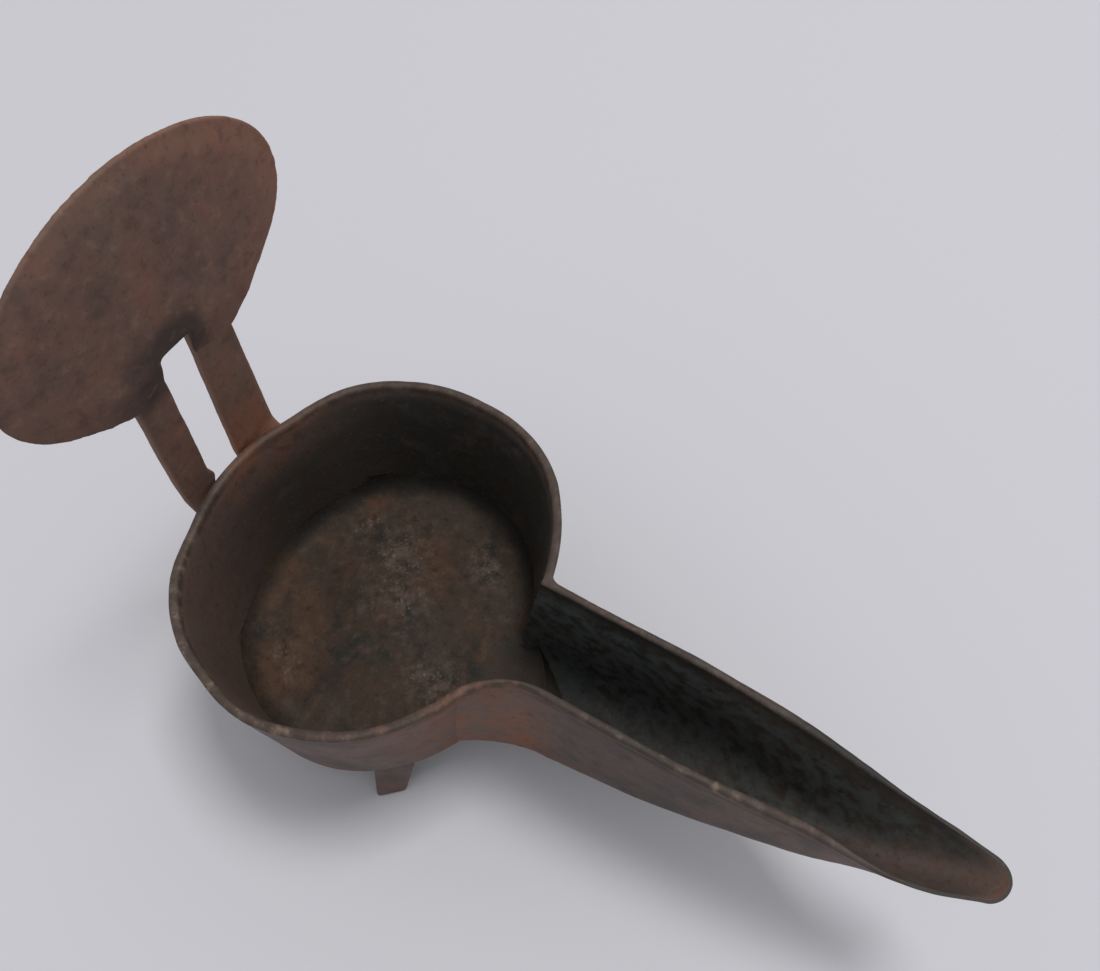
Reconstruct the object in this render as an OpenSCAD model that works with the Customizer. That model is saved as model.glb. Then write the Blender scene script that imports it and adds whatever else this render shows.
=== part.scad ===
// Open pan grease lamp of sheet iron: an oval pan with a long spout, and a slotted handle with a disc.
// +X points along the spout, +Z is up, and the origin is on the table under the middle of the lamp.

/* [Pan] */
// Width of the pan across its rim, outside
pan_w = 72; // [60:1:84]
// Length of the pan along the spout, outside
pan_l = 63.6; // [54:0.2:74]
// Height of the pan from its underside to its rim
pan_h = 30.4; // [25:0.2:38]
// How far the wall leans in from the rim to the underside
wall_lean = 4.3; // [2.5:0.1:6]
// Thickness of the wall sheet
wall_t = 2; // [1.5:0.1:2.5]
// Thickness of the floor plate
floor_t = 1.8; // [1.2:0.1:2.5]
// Radius of the floor plate's turned-up edge, inside
floor_turn_r = 3.5; // [2:0.1:5]
// Thickness left at the top of the floor plate's turned-up edge
floor_edge_t = 0.6; // [0.4:0.1:1.2]

/* [Spout] */
// Width of the spout where it leaves the pan, outside
spout_w = 18.3; // [15:0.1:22]
// Distance from the middle of the pan to the spout's tip
spout_reach = 111.7; // [95:0.1:130]
// Distance from the middle of the pan to where the spout's sides draw in
spout_straight = 52; // [45:0.5:60]
// Radius of the tip, seen from above
tip_r = 3.5; // [2.8:0.1:5]
// Depth of the hollow at the tip
tip_hollow = 0.4; // [0.2:0.1:2]
// Thickness of the spout sheet
spout_t = 1.8; // [1.2:0.1:2]
// Rise of the keel for each millimetre of length, where it starts to climb
keel_rise = 0.166; // [0.1:0.002:0.24]
// Angle round the rim at which the right wall bends away into the spout
bend_angle = 28; // [24:0.5:33]
// Rounding of the trough's lower corners beside the pan
root_corner_r = 2.2; // [2:0.1:3]
// Growth of that rounding for each millimetre towards the tip
corner_growth = 0.17; // [0.05:0.01:0.3]
// Length of the tongue that runs back under the floor plate
tongue_l = 9; // [5:0.5:12]
// Width of that tongue
tongue_w = 14; // [8:0.5:14]

/* [Handle] */
// Width of the disc
disc_w = 55.4; // [40:0.2:70]
// Height of the disc
disc_h = 37.2; // [32:0.2:50]
// Thickness of the disc
disc_t = 1.8; // [1.2:0.1:2.5]
// Height of the disc's centre above the rim
disc_up = 48.3; // [42:0.1:56]
// Width of the left strap
left_strap_w = 9.3; // [6:0.1:10]
// Width of the right strap
right_strap_w = 6; // [5:0.1:10]
// Thickness of each strap
strap_t = 2; // [1.5:0.1:2.8]
// Width of the slot between the straps
slot_w = 7.1; // [5:0.1:8]
// How far the middle of the slot lies to the right of the lamp's middle
slot_right = 0.4; // [0:0.1:2]
// Rounding of the slot's two upper corners
slot_corner_r = 1.2; // [0.6:0.1:2]
// How far the slot is cut up into the disc
slot_cut = 5.2; // [3:0.1:8]
// How far each strap runs down the outside of the wall
strap_lap = 9; // [6:0.5:14]
// How far the upright part of each strap reaches below the rim
strap_seat = 3; // [2:0.5:5]
// How far each strap runs up behind the disc
disc_lap = 11; // [8:0.5:15]
// Forward lean of the handle in degrees
handle_lean = 2.5; // [0:0.5:6]

/* [Feet] */
// Height of each foot below the pan
foot_h = 11; // [7:0.5:16]
// Width of each foot along the pan's edge
foot_w = 7.6; // [5:0.2:12]
// Thickness of each foot
foot_t = 3; // [2:0.1:4]
// How far each foot spreads out from the pan's underside to the table
foot_spread = 1.2; // [0:0.1:2.4]
// Angle round the underside from the spout to each front foot
foot_angle = 51; // [44:1:64]

/* [Fits] */
// Filler gap between brazed pieces
braze_gap = 0.1; // [0.06:0.01:0.15]
// Gap at the butt seam where the right wall meets the spout
seam_gap = 0.3; // [0.25:0.01:0.4]

/* [Hidden] */

// Smoothness of round faces, and the reach of a cut past the face it clears
$fn = 128;
clear = 2;

// Half sizes of the rim, and the height of the rim above the table
rim_x = pan_l / 2;
rim_y = pan_w / 2;
rim_z = foot_h + pan_h;
half_w = spout_w / 2;

// Half sizes of the pan's underside
base_y = rim_y - wall_lean;
base_x = base_y * rim_x / rim_y;

// Front face of the straps, and how far they reach above the rim
handle_x = -(rim_x + braze_gap);
strap_top = disc_up - disc_h / 2 + disc_lap;

// Middle of the whole lamp along X
rear_x = handle_x - strap_t * cos(handle_lean) - strap_seat * sin(handle_lean);
middle_x = (spout_reach + rear_x) / 2;

// Half width of a leaning oval wall, at a height above the table
function lean_r(rim_r, z) = rim_r - wall_lean * (rim_z - z) / pan_h;

// Bend on the right, where the rim leaves the oval and swings round to the spout's side
bend_at = [rim_x * cos(bend_angle), -rim_y * sin(bend_angle)];
bend_slope = [cos(bend_angle) / rim_x, -sin(bend_angle) / rim_y];
bend_out = bend_slope / norm(bend_slope);
bend_r = -(bend_at.y + half_w) / (1 + bend_out.y);
bend_c = bend_at + bend_out * bend_r;
bend_from = atan2(-bend_out.y, -bend_out.x) - seam_gap / bend_r * 180 / PI;
bend_to = 90;

// Start of the left side, on the inside of the pan wall at the rim and at the underside
function inner_x(rx, ry, y) = rx * sqrt(1 - pow(y / ry, 2));
inner_rim = [rim_x - wall_t, rim_y - wall_t];
inner_base = inner_rim * (inner_rim.y - wall_lean) / inner_rim.y;
root_y = half_w - spout_t;
root_rim_x = inner_x(inner_rim.x, inner_rim.y, root_y) + braze_gap;
root_base_x = inner_x(inner_base.x, inner_base.y, root_y) + braze_gap;

// Side of the spout seen from above: straight, then drawn in to the round tip
tip_x = spout_reach - tip_r;
draw_in = (half_w - tip_r) / pow(tip_x - spout_straight, 2);
function side_y(x) = x < spout_straight ? half_w : half_w - draw_in * pow(x - spout_straight, 2);
function side_slope(x) = x < spout_straight ? 0 : -2 * draw_in * (x - spout_straight);

// Depth of the keel below the rim: level beside the pan, then climbing to the tip
root_depth = pan_h + braze_gap + spout_t;
tip_h = spout_t + tip_hollow;
keel_x = bend_c.x;
keel_run = spout_reach - keel_x;
keel_bend = (root_depth - tip_h - keel_rise * keel_run) / pow(keel_run, 2);
function keel_depth(x) =
    let (run = max(0, x - keel_x)) root_depth - keel_rise * run - keel_bend * pow(run, 2);
function corner_r(x) = root_corner_r + corner_growth * max(0, x - keel_x);

// Stations along the spout: left edge and right edge at the rim, inner or outer, by the inset.
// The last one stands at tip_end degrees round the tip.
bend_steps = 10;
side_steps = 18;
tip_steps = 6;
tip_end = 78;
function bend_station(u, inset) =
    let (turn = bend_from + (bend_to - bend_from) * u)
    [
        [root_rim_x + (bend_c.x - root_rim_x) * u, half_w - inset],
        bend_c + (bend_r + inset) * [cos(turn), sin(turn)],
        1 - u
    ];
function side_station(u, inset) =
    let (
        x = bend_c.x + (tip_x - bend_c.x) * u,
        slope = side_slope(x),
        in = inset / sqrt(1 + slope * slope)
    )
    [[x + slope * in, side_y(x) - in], [x + slope * in, -side_y(x) + in], 0];
function tip_station(u, inset) =
    let (reach = (tip_r - inset) * sin(tip_end * u), half = (tip_r - inset) * cos(tip_end * u))
    [[tip_x + reach, half], [tip_x + reach, -half], 0];
function stations(inset) = concat(
    [for (i = [0 : bend_steps]) bend_station(i / bend_steps, inset)],
    [for (i = [1 : side_steps - 1]) side_station(i / side_steps, inset)],
    [for (i = [0 : tip_steps]) tip_station(i / tip_steps, inset)]
);

// One side of the trough's section, from the rim down the wall and round the lower corner.
// The corner takes at most these shares of the half width and of the depth.
wall_steps = 2;
corner_step = 15;
widest_corner = 0.96;
deepest_corner = 0.9;
least_corner = 0.2;
left_drift = [root_base_x - root_rim_x, 0];
right_drift = -bend_at * wall_lean / rim_y;
function half_section(middle, edge, depth, corner, drift) =
    let (
        half = norm(edge - middle),
        out = (edge - middle) / half,
        rh = min(corner, widest_corner * half),
        rv = min(rh, deepest_corner * depth),
        straight = depth - rv,
        line = concat(
            [for (k = [0 : wall_steps - 1]) [half, straight * k / wall_steps]],
            [for (t = [0 : corner_step : 90]) [half - rh + rh * cos(t), straight + rv * sin(t)]]
        )
    )
    [
        for (p = line)
        let (at = middle + out * p[0] + drift * p[1] / pan_h)
        [at.x, at.y, rim_z - p[1]]
    ];
function section(station, inset) =
    let (
        left = station[0],
        right = station[1],
        middle = (left + right) / 2,
        depth = keel_depth(middle.x) - inset,
        corner = max(corner_r(middle.x) - inset, least_corner),
        left_half = half_section(middle, left, depth, corner, left_drift * station[2]),
        right_half = half_section(middle, right, depth, corner, right_drift * station[2]),
        last = len(right_half) - 1
    )
    concat(left_half, [for (k = [last : -1 : 0]) right_half[k]]);

// Two triangles for four corners, listed clockwise as seen from outside
function quad(p, q, r, s) = [[p, q, r], [p, r, s]];

// Solid oval with the lean of the wall, between two heights
module oval_frustum(rx, ry, z_lo, z_hi) {
    translate([0, 0, z_lo])
        scale([rx / ry, 1, 1])
            cylinder(r1 = lean_r(ry, z_lo), r2 = lean_r(ry, z_hi), h = z_hi - z_lo);
}

// Moves a piece from the middle of the pan to the lamp's own origin
module placed() {
    translate([-middle_x, 0, 0]) children();
}

// Frame of the handle: X forward from the straps' front faces, Z up the handle from the rim
module on_handle() {
    translate([handle_x, 0, rim_z]) rotate([0, handle_lean, 0]) children();
}

// Dished floor plate inside the wall, with its edge turned up all round
module pan_floor() {
    plate_h = floor_t + floor_turn_r;
    edge_r = inner_base.y - braze_gap;
    top_r = edge_r + wall_lean * plate_h / pan_h;
    turn_x = top_r - floor_edge_t - floor_turn_r;
    color("#4a3426")
        placed() translate([0, 0, foot_h]) scale([inner_base.x / inner_base.y, 1, 1])
            difference() {
                cylinder(r1 = edge_r, r2 = top_r, h = plate_h);
                translate([0, 0, plate_h]) rotate_extrude() translate([turn_x, 0]) circle(r = floor_turn_r);
                translate([0, 0, floor_t]) cylinder(r = turn_x, h = plate_h);
            }
}

// Wall band round the pan, open where the spout leaves it. The cut runs well past the rim.
module pan_wall() {
    past_rim = 2;
    mouth = [
        [0, half_w + braze_gap],
        [rim_x * past_rim, half_w + braze_gap],
        bend_at * past_rim,
        [0, 0]
    ];
    color("#3a2f28")
        placed() difference() {
            oval_frustum(rim_x, rim_y, foot_h, rim_z);
            oval_frustum(inner_rim.x, inner_rim.y, foot_h - clear, rim_z + clear);
            linear_extrude(rim_z + clear) polygon(mouth);
        }
}

// Trough of the spout with its bent right root, and the tongue under the floor plate.
// The tongue is thinner than the trough's sheet by tongue_step on each face.
module spout() {
    outer = [for (s = stations(0)) section(s, 0)];
    inner = [for (s = stations(spout_t)) section(s, spout_t)];
    n = len(outer);
    m = len(outer[0]);
    function o(i, j) = i * m + j;
    function k(i, j) = (n + i) * m + j;
    points = concat([for (ring = outer) each ring], [for (ring = inner) each ring]);
    faces = concat(
        [
            for (i = [0 : n - 2], j = [0 : m - 2])
            each quad(o(i, j), o(i, j + 1), o(i + 1, j + 1), o(i + 1, j))
        ],
        [
            for (i = [0 : n - 2], j = [0 : m - 2])
            each quad(k(i, j), k(i + 1, j), k(i + 1, j + 1), k(i, j + 1))
        ],
        [for (i = [0 : n - 2]) each quad(k(i, 0), o(i, 0), o(i + 1, 0), k(i + 1, 0))],
        [
            for (i = [0 : n - 2])
            each quad(o(i, m - 1), k(i, m - 1), k(i + 1, m - 1), o(i + 1, m - 1))
        ],
        [for (j = [0 : m - 2]) each quad(o(0, j), k(0, j), k(0, j + 1), o(0, j + 1))],
        [
            for (j = [0 : m - 2])
            each quad(o(n - 1, j), o(n - 1, j + 1), k(n - 1, j + 1), k(n - 1, j))
        ]
    );
    tongue_step = 0.1;
    tongue_t = spout_t - 2 * tongue_step;
    tongue_end = root_base_x + spout_t;
    color("#3f342c")
        placed() {
            polyhedron(points, faces);
            translate([0, 0, rim_z - root_depth + tongue_step])
                linear_extrude(tongue_t)
                    translate([tongue_end - tongue_l - spout_t, -tongue_w / 2])
                        square([tongue_l + spout_t, tongue_w]);
        }
}

// Oval plate at the top of the handle, in front of the straps, with the slot cut up into it
module handle_disc() {
    slot_top = slot_cut - disc_h / 2;
    corner_x = slot_w / 2 - slot_corner_r;
    corner_y = slot_top - slot_corner_r;
    color("#7a5648")
        placed() on_handle()
            translate([braze_gap, 0, disc_up])
                rotate([90, 0, 90])
                    linear_extrude(disc_t)
                        difference() {
                            scale([disc_w / disc_h, 1]) circle(d = disc_h);
                            translate([-slot_right, 0]) {
                                for (side = [-1, 1])
                                    translate([side * corner_x, corner_y]) circle(r = slot_corner_r);
                                translate([-slot_w / 2, corner_y - disc_h]) square([slot_w, disc_h]);
                                translate([-corner_x, slot_top - disc_h]) square([2 * corner_x, disc_h]);
                            }
                        }
}

// Strap beside the slot, from its right edge across its width: a lap on the outside of the wall,
// then a flat upright
module strap(right_edge, width) {
    lap_x = rim_x + braze_gap;
    lap_y = rim_y + braze_gap;
    lap_z = rim_z - strap_lap;
    color("#6e4a3a")
        placed() {
            intersection() {
                difference() {
                    oval_frustum(lap_x + strap_t, lap_y + strap_t, lap_z, rim_z);
                    oval_frustum(lap_x, lap_y, lap_z - clear, rim_z + clear);
                }
                translate([-pan_l, right_edge, lap_z]) cube([pan_l, width, strap_lap]);
            }
            on_handle()
                translate([-strap_t, right_edge, -strap_seat])
                    cube([strap_t, width, strap_seat + strap_top]);
        }
}

module left_strap() {
    strap(slot_w / 2 - slot_right, left_strap_w);
}

module right_strap() {
    strap(-slot_w / 2 - slot_right - right_strap_w, right_strap_w);
}

// Flat foot under the pan's edge, at an angle round the underside, spreading outwards to the table
module foot(angle) {
    at = [base_x * cos(angle), base_y * sin(angle), 0];
    facing = atan2(sin(angle) / base_y, cos(angle) / base_x);
    side = [[foot_spread - foot_t, 0], [foot_spread, 0], [0, foot_h], [-foot_t, foot_h]];
    color("#45352b")
        placed() translate(at) rotate([0, 0, facing])
            translate([0, foot_w / 2, 0]) rotate([90, 0, 0]) linear_extrude(foot_w) polygon(side);
}

module front_left_foot() {
    foot(foot_angle);
}

module front_right_foot() {
    foot(-foot_angle);
}

module rear_foot() {
    foot(180);
}

pan_floor();
pan_wall();
spout();
handle_disc();
left_strap();
right_strap();
front_left_foot();
front_right_foot();
rear_foot();
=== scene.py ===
import math

import bmesh
import bpy
from mathutils import Matrix, Vector, noise


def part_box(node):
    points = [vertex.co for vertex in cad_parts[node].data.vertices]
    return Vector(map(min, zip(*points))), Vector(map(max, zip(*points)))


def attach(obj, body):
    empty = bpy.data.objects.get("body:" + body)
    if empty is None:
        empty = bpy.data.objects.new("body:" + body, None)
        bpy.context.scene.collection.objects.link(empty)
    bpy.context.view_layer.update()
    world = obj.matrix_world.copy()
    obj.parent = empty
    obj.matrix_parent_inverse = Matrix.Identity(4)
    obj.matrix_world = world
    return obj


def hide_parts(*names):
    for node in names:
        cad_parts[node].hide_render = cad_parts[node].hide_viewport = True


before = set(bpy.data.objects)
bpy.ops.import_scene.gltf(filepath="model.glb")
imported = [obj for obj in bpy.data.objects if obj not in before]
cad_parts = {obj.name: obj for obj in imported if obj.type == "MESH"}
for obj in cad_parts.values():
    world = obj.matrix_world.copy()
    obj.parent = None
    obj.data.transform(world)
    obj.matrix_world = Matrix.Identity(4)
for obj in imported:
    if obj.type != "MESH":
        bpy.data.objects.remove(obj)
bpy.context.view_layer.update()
print("frame loaded,", len(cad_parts), "nodes")

mm = 0.001  # pieces are shaped in millimetres round the middle of the pan, then set into the frame
floorLow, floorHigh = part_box("pan_floor")
wallLow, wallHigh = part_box("pan_wall")
panX = (floorLow.x + floorHigh.x) / 2
rimZ = wallHigh.z / mm
baseZ = wallLow.z / mm


def toLinear(hexColour):
    parts = [int(hexColour[k:k + 2], 16) / 255 for k in (1, 3, 5)]
    return [c / 12.92 if c <= 0.04045 else ((c + 0.055) / 1.055) ** 2.4 for c in parts] + [1.0]


def addNode(tree, kind, settings=None, links=None):
    node = tree.nodes.new(kind)
    for key, value in (settings or {}).items():
        if isinstance(key, int) or key in node.inputs:
            node.inputs[key].default_value = value
        else:
            setattr(node, key, value)
    for socket, source in (links or {}).items():
        tree.links.new(source, node.inputs[socket])
    return node


def smooth(low, high, value):  # 0 at low, 1 at high, an easy slope between
    t = min(max((value - low) / (high - low), 0), 1)
    return t * t * (3 - 2 * t)


def bell(value, at, wide):  # 1 at the place, falling off to both sides
    return math.exp(-((value - at) / wide) ** 2)


def lump(place, size, seed=0.0):  # soft noise from about -1 to 1, with lumps of that size in mm
    x, y, z = (c / size for c in place)
    return noise.noise(Vector((x + seed, y - seed, z + 0.37 * seed)))


# camera

photoView = {
    "place": (30.9, -56.8, 191.6),  # mm in the lamp's frame
    "aim": (-21.5, 31.5, 30.0),
    "roll": -0.38,  # degrees
    "lens": 32.73,
    "sensor": 36.0,
    "nearest": 0.01,
}

camera = bpy.data.objects.new("camera", bpy.data.cameras.new("camera"))
bpy.context.scene.collection.objects.link(camera)
viewFrom = Vector(photoView["place"])
facing = (Vector(photoView["aim"]) - viewFrom).to_track_quat("-Z", "Y").to_matrix()
roll = Matrix.Rotation(math.radians(photoView["roll"]), 3, "Z")
camera.matrix_world = Matrix.Translation(viewFrom * mm) @ (facing @ roll).to_4x4()
camera.data.lens = photoView["lens"]
camera.data.sensor_width = photoView["sensor"]
camera.data.clip_start = photoView["nearest"]
bpy.context.scene.camera = camera
print("camera set")


# iron finishes: layers of colour over a body colour, each spread by a cloud of noise and often by a mark

def ironFinish(name, finish):
    material = bpy.data.materials.new(name)
    material.use_nodes = True
    tree = material.node_tree
    shader = tree.nodes["Principled BSDF"]
    place = addNode(tree, "ShaderNodeTexCoord").outputs["Object"]
    clouds = {}
    for kind, (size, detail) in finish["clouds"].items():  # size in mm, and W keeps the clouds apart
        clouds[kind] = addNode(
            tree, "ShaderNodeTexNoise",
            {
                "noise_dimensions": "4D", "W": size, "Scale": 1 / (size * mm),
                "Detail": detail, "Roughness": 0.6,
            },
            {"Vector": place},
        ).outputs["Fac"]
    below = None
    for tone, cloud, low, high, top, where in finish["layers"]:
        share = addNode(  # none where the cloud is at low, the top share where it is at high
            tree, "ShaderNodeMapRange",
            {"interpolation_type": "SMOOTHSTEP", "From Min": low, "From Max": high, "To Max": top},
            {"Value": clouds[cloud]},
        ).outputs["Result"]
        if where:  # the name of a mark on the mesh
            painted = addNode(tree, "ShaderNodeAttribute", {"attribute_name": where}).outputs["Fac"]
            share = addNode(
                tree, "ShaderNodeMath", {"operation": "MULTIPLY"}, {0: share, 1: painted},
            ).outputs["Value"]
        mix = addNode(  # inputs 6 and 7 are the two colours
            tree, "ShaderNodeMix",
            {"data_type": "RGBA", 6: toLinear(finish["body"]), 7: toLinear(tone)},
            {0: share},
        )
        if below:
            tree.links.new(below, mix.inputs[6])
        below = mix.outputs[2]
    height = addNode(  # half the grain on top of the patches
        tree, "ShaderNodeMath",
        {"operation": "MULTIPLY_ADD", 1: 0.5},
        {0: clouds["grain"], 2: clouds["patch"]},
    ).outputs["Value"]
    bump = addNode(
        tree, "ShaderNodeBump",
        {"Strength": finish["bump"], "Distance": finish["bumpDeep"] * mm},
        {"Height": height},
    ).outputs["Normal"]
    rough = addNode(
        tree, "ShaderNodeMapRange",
        {"To Min": finish["rough"][0], "To Max": finish["rough"][1]},
        {"Value": clouds["patch"]},
    ).outputs["Result"]
    tree.links.new(below, shader.inputs["Base Color"])
    tree.links.new(rough, shader.inputs["Roughness"])
    tree.links.new(bump, shader.inputs["Normal"])
    shader.inputs["Specular IOR Level"].default_value = finish["gloss"]
    return material


# forged sheet iron under lamp soot: matt black-green inside, grey-brown skin outside, a worn brown rim;
# painted shade deepens the soot and darkens the rim's groove, and a painted sheen and a painted highlight
# on the rim lighten it
sootyIron = ironFinish("sooty sheet iron", {
    "body": "#5a4a44", "rough": (0.45, 0.75), "gloss": 0.3, "bump": 0.4, "bumpDeep": 0.3,
    "clouds": {"patch": (7, 5), "broad": (24, 3), "mottle": (2.4, 4), "grain": (0.8, 3)},
    "layers": (
        ("#48403c", "patch", 0.46, 0.64, 0.8, None),
        ("#694e42", "patch", 0.5, 0.36, 0.5, None),
        ("#655d59", "broad", 0.5, 0.7, 0.6, None),
        # rust, and inside the pan a warm tone painted on the face turned to the light
        ("#7c4f36", "patch", 0.34, 0.58, 0.8, "rust"),
        ("#3e3229", "mottle", 0.75, 0.4, 0.95, "worn"),
        # rubbed rim with a painted highlight on it
        ("#8c7d67", "mottle", 0.52, 0.74, 0.6, "shine"),
        # soot, deepened with painted shade on the faces turned from the light
        ("#1e211d", "patch", 0.84, 0.5, 0.97, "soot"),
        # painted sheen: a cool grey reflection on the sooty faces, and painted light lifting the shade
        ("#4c524f", "mottle", 0.34, 0.6, 0.85, "ash"),
        # painted shade in the groove under the rim's bead
        ("#2a211b", "grain", 0.2, 0.3, 0.9, "groove"),
        ("#3a302b", "mottle", 0.48, 0.32, 0.5, None),
        ("#77675a", "grain", 0.58, 0.72, 0.22, None),
        ("#1d1a17", "grain", 0.42, 0.3, 0.45, None),
    ),
})
# burnt grease and rust on the pan's floor: gritty brown with fine pale grains and dark green-black
# blotches, and soot at the turned-up edge deepened with painted shade
grittyRust = ironFinish("gritty rust", {
    "body": "#382b21", "rough": (0.6, 0.85), "gloss": 0.25, "bump": 0.7, "bumpDeep": 0.35,
    "clouds": {"patch": (9, 5), "broad": (18, 4), "mottle": (2.2, 4), "grain": (0.6, 4)},
    "layers": (
        ("#20221d", "patch", 0.5, 0.66, 0.85, None),
        ("#4f3522", "broad", 0.5, 0.66, 0.75, None),
        ("#3d352b", "broad", 0.48, 0.32, 0.6, None),
        ("#4a3c30", "mottle", 0.5, 0.68, 0.7, None),
        ("#211b16", "mottle", 0.47, 0.3, 0.75, None),
        ("#322e28", "patch", 0.36, 0.56, 0.85, "worn"),
        # soot, deepened with painted shade at the edge turned from the light
        ("#151410", "patch", 0.85, 0.46, 0.95, "soot"),
        ("#564a41", "mottle", 0.4, 0.62, 0.65, "grit"),
        ("#85776b", "grain", 0.54, 0.7, 0.5, "grit"),
        ("#645748", "grain", 0.58, 0.74, 0.3, None),
        ("#1b1713", "grain", 0.44, 0.3, 0.6, None),
    ),
})
# old brown rust on the handle: dry and smooth, mottled red-brown and grey-brown; the soot layer also holds
# painted shade on a strap under the disc's edge
brownRust = ironFinish("brown rust", {
    "body": "#674e44", "rough": (0.6, 0.85), "gloss": 0.25, "bump": 0.2, "bumpDeep": 0.25,
    "clouds": {"patch": (8, 6), "broad": (20, 4), "mottle": (2.2, 4), "grain": (0.8, 3)},
    "layers": (
        ("#54453e", "patch", 0.48, 0.66, 0.75, None),
        ("#725041", "patch", 0.48, 0.34, 0.6, None),
        ("#67574e", "broad", 0.52, 0.7, 0.5, None),
        ("#84523f", "patch", 0.34, 0.56, 0.7, "rust"),
        ("#84624e", "mottle", 0.75, 0.4, 0.8, "worn"),
        # soot round the notch, and painted shade on the strap under the disc's edge
        ("#322d2a", "patch", 0.74, 0.42, 0.95, "soot"),
        ("#4a3a33", "mottle", 0.49, 0.33, 0.5, None),
        ("#7f6555", "mottle", 0.53, 0.69, 0.4, None),
        ("#2f2622", "grain", 0.42, 0.3, 0.35, None),
    ),
})
print("iron finishes made")


# helpers for the pieces

wear = {"hammerSize": 13, "dentSize": 4.2, "pitSize": 1.3, "rustSize": 2.6, "rustFrom": 0.25}  # sizes in mm
creaseAngle = 55  # faces that meet more sharply than this, in degrees, keep a crisp edge


def weather(bm, hammer=0.12, dent=0.06, pit=0.03, seed=0.0):  # heights and depths in mm
    bm.normal_update()
    moved = []
    for v in bm.verts:
        deep = max(0.0, lump(v.co, wear["rustSize"], 3.1 + seed) - wear["rustFrom"]) * 2
        rise = hammer * lump(v.co, wear["hammerSize"], seed)
        rise += dent * lump(v.co, wear["dentSize"], 1.7 + seed)
        rise += pit * lump(v.co, wear["pitSize"], 2.3 + seed)
        moved.append(v.co + v.normal * (rise - pit * deep))
    for v, place in zip(bm.verts, moved):
        v.co = place


def closeEnds(bm):
    bmesh.ops.holes_fill(bm, edges=[e for e in bm.edges if e.is_boundary])


def roundEdges(bm, edges, offset):
    bmesh.ops.bevel(bm, geom=edges, offset=offset, segments=3, affect="EDGES", profile=0.5, material=-1)


def mark(bm, **marks):  # writes each mark onto the mesh, from 0 for none to 1 for full
    for name, rule in marks.items():
        layer = bm.verts.layers.float.get(name) or bm.verts.layers.float.new(name)
        for v in bm.verts:
            v[layer] = min(max(rule(v), 0.0), 1.0)


def makePiece(name, bm, material, node):
    bmesh.ops.recalc_face_normals(bm, faces=bm.faces)
    for face in bm.faces:
        face.smooth = True
    steps = bm.verts.layers.int.get("place")
    if steps:
        bm.verts.layers.int.remove(steps)
    intoFrame = Matrix.Translation((panX, 0, 0)) @ Matrix.Scale(mm, 4)
    bmesh.ops.transform(bm, matrix=intoFrame, verts=bm.verts)
    mesh = bpy.data.meshes.new(name)
    bm.to_mesh(mesh)
    bm.free()
    mesh.set_sharp_from_angle(angle=math.radians(creaseAngle))
    mesh.materials.append(material)
    piece = bpy.data.objects.new(name, mesh)
    bpy.context.scene.collection.objects.link(piece)
    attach(piece, "root")
    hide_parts(node)
    print(name, "made,", len(mesh.polygons), "faces")


def remeshed(bm, voxel, passes=3):  # the same solid in an even skin of faces, fine enough for dents
    mesh = bpy.data.meshes.new("blank")
    bm.to_mesh(mesh)
    bm.free()
    blank = bpy.data.objects.new("blank", mesh)
    bpy.context.scene.collection.objects.link(blank)
    skin = blank.modifiers.new("skin", "REMESH")
    skin.mode = "VOXEL"
    skin.voxel_size = voxel
    fine = bpy.data.meshes.new_from_object(blank.evaluated_get(bpy.context.evaluated_depsgraph_get()))
    dense = bmesh.new()
    dense.from_mesh(fine)
    bpy.data.objects.remove(blank)
    bpy.data.meshes.remove(mesh)
    bpy.data.meshes.remove(fine)
    for k in range(passes):
        bmesh.ops.smooth_vert(
            dense, verts=dense.verts, factor=0.5, use_axis_x=True, use_axis_y=True, use_axis_z=True,
        )
    return dense


def loft(bm, rings):  # closed rings of points, each extruded to the next, open at both ends
    place = bm.verts.layers.int.new("place")
    ring = [bm.verts.new(p) for p in rings[0]]
    for k, v in enumerate(ring):
        v[place] = k
    edges = [bm.edges.new((ring[k - 1], ring[k])) for k in range(len(ring))]
    for points in rings[1:]:
        made = bmesh.ops.extrude_edge_only(bm, edges=edges)["geom"]
        edges = [g for g in made if isinstance(g, bmesh.types.BMEdge) and g.is_boundary]
        ring = [g for g in made if isinstance(g, bmesh.types.BMVert)]
        for v in ring:
            v.co = points[v[place]]
    return place, ring


# rim: the worn edge that the pan's wall and the spout share

rim = {
    "drop": 0.7, "round": 0.6, "steps": 8, "crowd": 1.3,
    "bead": 0.1, "beadEnd": (1.6, 2.2), "grooveAt": 2.4, "grooveWide": 0.45, "grooveDeep": 0.2,
    "stainWide": 0.4, "stainSize": 11, "stainSpan": (-0.3, 0.2), "wornDeep": (0.9, 2.2),
    "wave": 0.25, "waveSize": 8, "waveDeep": 9, "thin": 0.5, "thinDeep": 9,
}


def overRim(low, high, drop):  # points over the edge: how far across, how far below the top
    middle = (low + high) / 2
    half = (high - low) / 2
    turns = [math.pi * k / rim["steps"] for k in range(1, rim["steps"])]
    return [(middle - half * math.cos(a), drop * (1 - math.sin(a) ** rim["round"])) for a in turns]


def sheetDepths(top, depth, rows):  # points down one face, closer together near the rim
    return [top + (depth - top) * (k / rows) ** rim["crowd"] for k in range(rows + 1)]


def beadOut(depth):  # how far the outer face stands proud at the rim, and the groove under it
    proud = rim["bead"] * (1 - smooth(*rim["beadEnd"], depth))
    return proud - rim["grooveDeep"] * bell(depth, rim["grooveAt"], rim["grooveWide"])


def thinned(depth):  # how much the sheet is hammered thinner at the rim, on its inner face
    return rim["thin"] * (1 - smooth(0, rim["thinDeep"], depth))


def rimWave(place, depth):  # the rim rises and falls a little, as hand-cut sheet does
    return rim["wave"] * (1 - smooth(0, rim["waveDeep"], depth)) * lump(place, rim["waveSize"], 5.5)


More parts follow.
